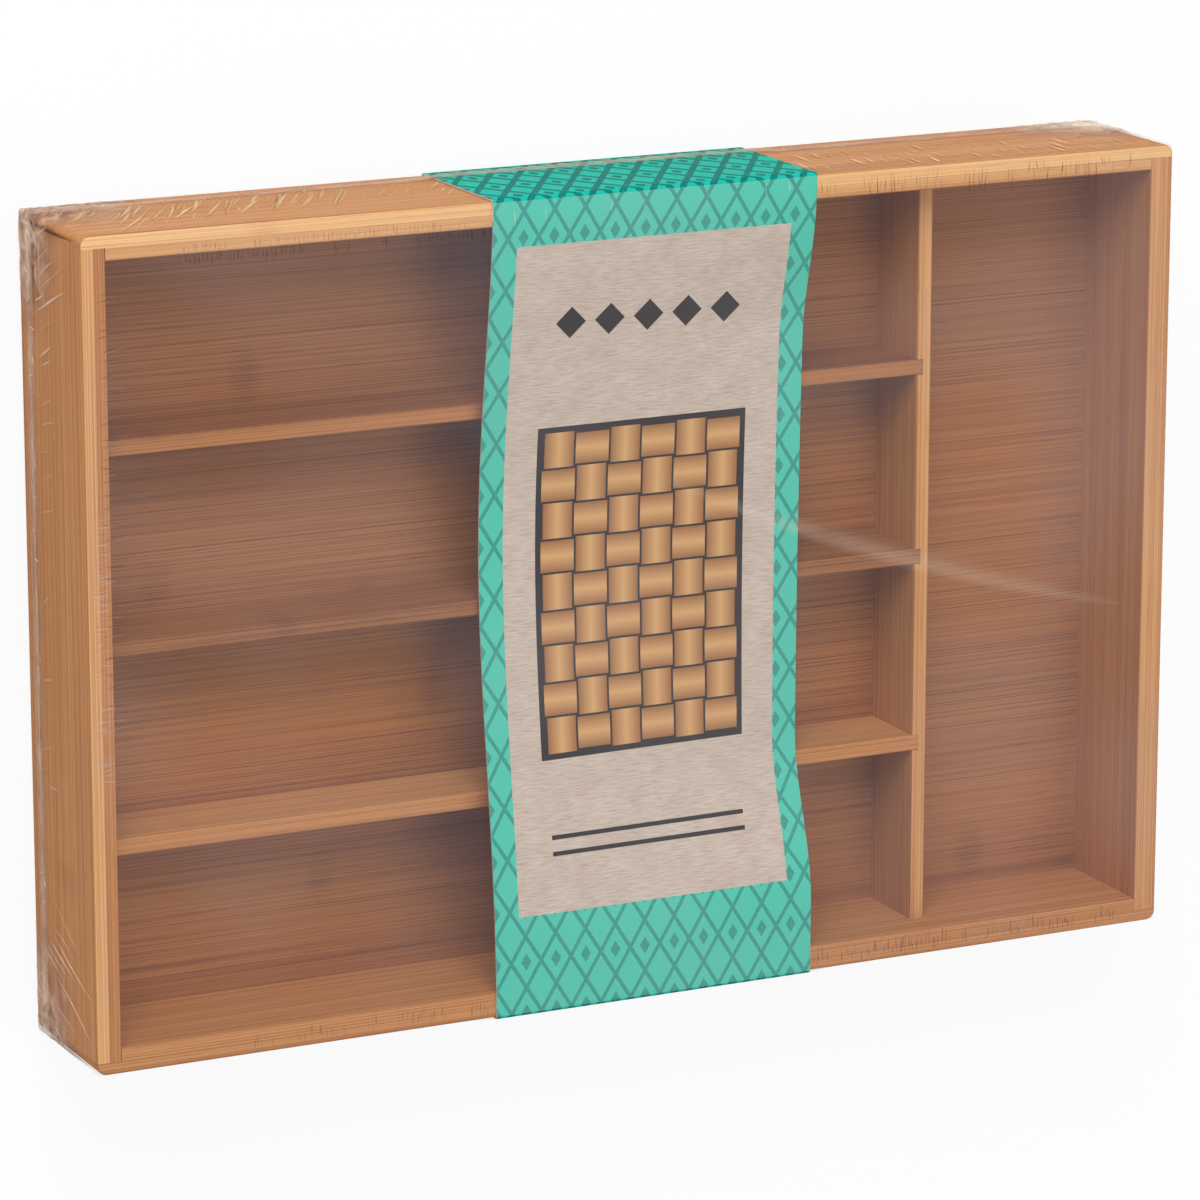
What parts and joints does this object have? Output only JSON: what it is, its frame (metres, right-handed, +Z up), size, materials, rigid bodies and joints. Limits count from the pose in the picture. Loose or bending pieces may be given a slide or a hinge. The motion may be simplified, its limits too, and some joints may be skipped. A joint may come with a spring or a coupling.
{
  "type": "cutlery tray",
  "caption": "Flat bamboo cutlery tray with lengthwise lanes and one cross lane, in a printed card sleeve and a clear film bag that both pull off.",
  "frame": {"origin": "bottom centre of the wrapped tray as it lies flat", "axes": "+X along the tray towards the cross lane, +Y towards the back board, +Z up out of the lanes"},
  "size_m": [0.3607, 0.2523, 0.0518],
  "materials": {
    "bamboo_outer_ply": "satin lacquered",
    "bamboo_inner_ply": "satin lacquered",
    "bamboo_base": "satin lacquered",
    "bamboo_divider": "satin lacquered",
    "printed_card": "matte printed",
    "clear_film": "clear gloss"
  },
  "bodies": {
    "tray": {"front_board_outer_ply": "bamboo_outer_ply", "front_board_inner_ply": "bamboo_inner_ply", "back_board_outer_ply": "bamboo_outer_ply", "back_board_inner_ply": "bamboo_inner_ply", "left_end_outer_ply": "bamboo_outer_ply", "left_end_inner_ply": "bamboo_inner_ply", "right_end_outer_ply": "bamboo_outer_ply", "right_end_inner_ply": "bamboo_inner_ply", "base_panel": "bamboo_base", "cross_divider": "bamboo_divider", "lane_divider_1": "bamboo_divider", "lane_divider_2": "bamboo_divider", "lane_divider_3": "bamboo_divider"},
    "sleeve": {"sleeve_face_panel": "printed_card", "sleeve_under_panel": "printed_card", "sleeve_front_side": "printed_card", "sleeve_back_side": "printed_card"},
    "film": {"film_over_lanes": "clear_film", "film_under_base": "clear_film", "film_front_side": "clear_film", "film_back_side": "clear_film", "film_left_end": "clear_film", "film_left_seam": "clear_film", "film_back_seam": "clear_film"}
  },
  "joints": [
    {"name": "sleeve_slide", "type": "slide", "parent": "tray", "child": "sleeve", "axis": [1, 0, 0], "range_m": [0, 0.25]},
    {"name": "film_slide", "type": "slide", "parent": "tray", "child": "film", "axis": [-1, 0, 0], "range_m": [0, 0.38]}
  ]
}
